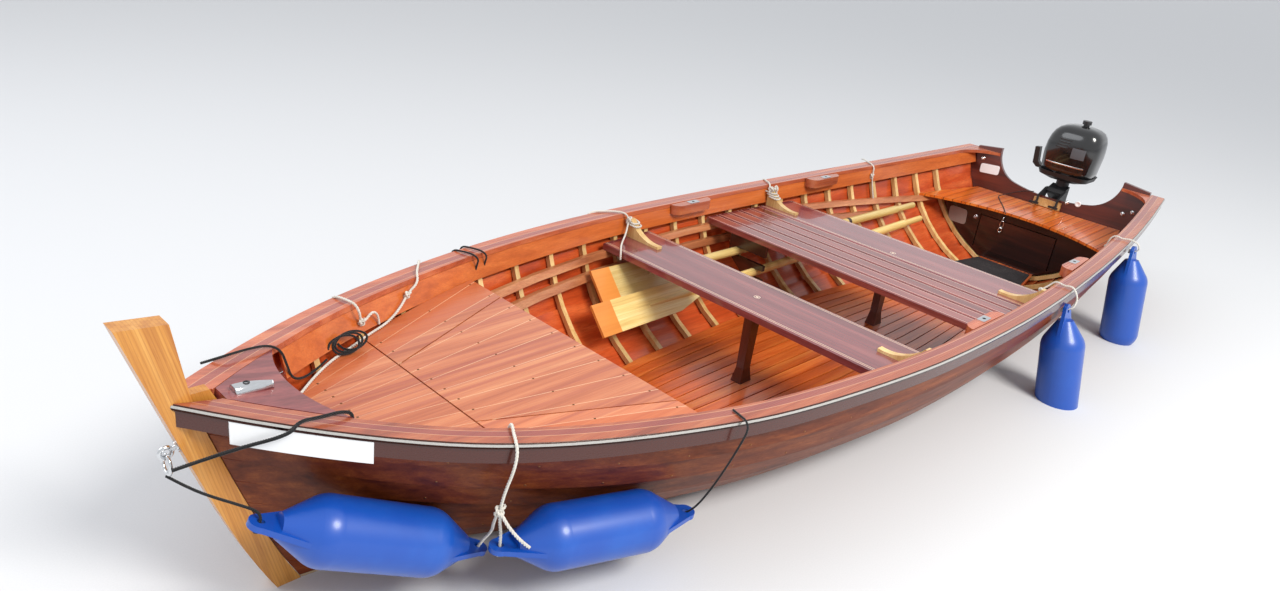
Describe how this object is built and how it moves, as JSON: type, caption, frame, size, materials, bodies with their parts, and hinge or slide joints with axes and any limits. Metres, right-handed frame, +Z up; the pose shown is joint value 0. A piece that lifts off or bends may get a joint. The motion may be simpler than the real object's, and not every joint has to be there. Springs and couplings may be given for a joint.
{
  "type": "open clinker rowing boat with a small outboard motor",
  "caption": "Open clinker-built wooden rowing boat with thwarts, fore platform, stern seat, stowed oars, blue fenders and a small clamped outboard motor.",
  "frame": {"origin": "amidships on the centreline, at the waterline", "axes": "+X forward, +Y to port, +Z up"},
  "size_m": [5.3149, 1.7405, 1.106],
  "materials": {
    "cord_black": "black braided cord",
    "dark_wood": "very dark varnished hardwood",
    "fender_blue": "royal blue soft vinyl",
    "floor_wood": "orange varnished boards",
    "hull_wood": "dark red-brown varnished planking",
    "mat": "dark grey woven mat",
    "motor_black": "black moulded cover",
    "motor_grey": "black painted casting",
    "oar_wood": "pale varnished spruce",
    "pad_wood": "pale clamp pad",
    "platform_wood": "salmon-orange varnished boards with pale seams",
    "rail_wood": "varnished laminated hardwood with pale lines",
    "rib_wood": "pale varnished hardwood",
    "rope_white": "off-white laid rope",
    "seat_wood": "orange varnished strips",
    "sign_white": "blank white plate",
    "stainless": "polished stainless steel",
    "thwart_wood": "glossy purple-brown hardwood with pale edges",
    "transom_wood": "dark red-brown varnished board"
  },
  "bodies": {
    "hull": {"bow_ring": "stainless", "bow_socket": "stainless", "breasthook": "platform_wood", "cord_bungee": "cord_black", "cord_stem": "cord_black", "fender_bow_aft": "fender_blue", "fender_bow_fore": "fender_blue", "fender_quarter_aft": "fender_blue", "fender_quarter_fore": "fender_blue", "floor_bearers": "rib_wood", "floor_mat": "mat", "floorboards": "floor_wood", "fore_platform": "platform_wood", "gunwale_port": "rail_wood", "gunwale_starboard": "rail_wood", "inwale_port": "rail_wood", "inwale_starboard": "rail_wood", "keel": "rib_wood", "locker_front": "dark_wood", "motor_clamp": "motor_grey", "motor_clamp_pad": "pad_wood", "oar_inboard": "oar_wood", "oar_outboard": "oar_wood", "oar_rests": "dark_wood", "platform_beams": "dark_wood", "quarter_knees": "rail_wood", "registration_plates": "sign_white", "ribs_port": "rib_wood", "ribs_starboard": "rib_wood", "riser_port": "rail_wood", "riser_starboard": "rail_wood", "rope_bow": "rope_white", "rope_bow_leg": "rope_white", "rope_quarter_aft": "rope_white", "rope_quarter_fore": "rope_white", "rope_starboard_bow": "rope_white", "rowlock_pads": "rail_wood", "rowlock_sockets": "stainless", "rub_strip_port": "stainless", "rub_strip_starboard": "stainless", "seat_beams": "dark_wood", "stem_post": "rib_wood", "stern_seat": "seat_wood", "strakes_port": "hull_wood", "strakes_starboard": "hull_wood", "thwart_aft": "thwart_wood", "thwart_forward": "thwart_wood", "thwart_knees": "rib_wood", "thwart_posts": "dark_wood", "thwart_slats": "thwart_wood", "transom": "transom_wood"},
    "motor_bracket": {"motor_swivel": "motor_grey"},
    "motor_head": {"motor_leg": "motor_grey", "motor_pan": "motor_grey", "motor_cowl": "motor_black", "motor_fuel_cap": "motor_black", "motor_tiller": "motor_black"},
    "propeller": {"propeller": "motor_grey"},
    "hatch": {"platform_hatch": "platform_wood"},
    "door": {"locker_door": "dark_wood"}
  },
  "joints": [
    {"name": "hatch_hinge", "type": "hinge", "parent": "hull", "child": "hatch", "pos_m": [1.8175, 0, 0.4], "axis": [0, 1, 0], "range_deg": [0, 80]},
    {"name": "door_hinge", "type": "hinge", "parent": "hull", "child": "door", "pos_m": [-2.09, 0, 0.045], "axis": [0, 1, 0], "range_deg": [0, 80]},
    {"name": "motor_tilt", "type": "hinge", "parent": "hull", "child": "motor_bracket", "pos_m": [-2.532, 0, 0.384], "axis": [0, 1, 0], "range_deg": [0, 60]},
    {"name": "motor_steer", "type": "hinge", "parent": "motor_bracket", "child": "motor_head", "pos_m": [-2.605, 0, 0.3], "axis": [0, 0, 1], "range_deg": [-180, 180]},
    {"name": "propeller_spin", "type": "hinge", "parent": "motor_head", "child": "propeller", "pos_m": [-2.605, 0.11, -0.182], "axis": [0, 1, 0], "continuous": true}
  ]
}
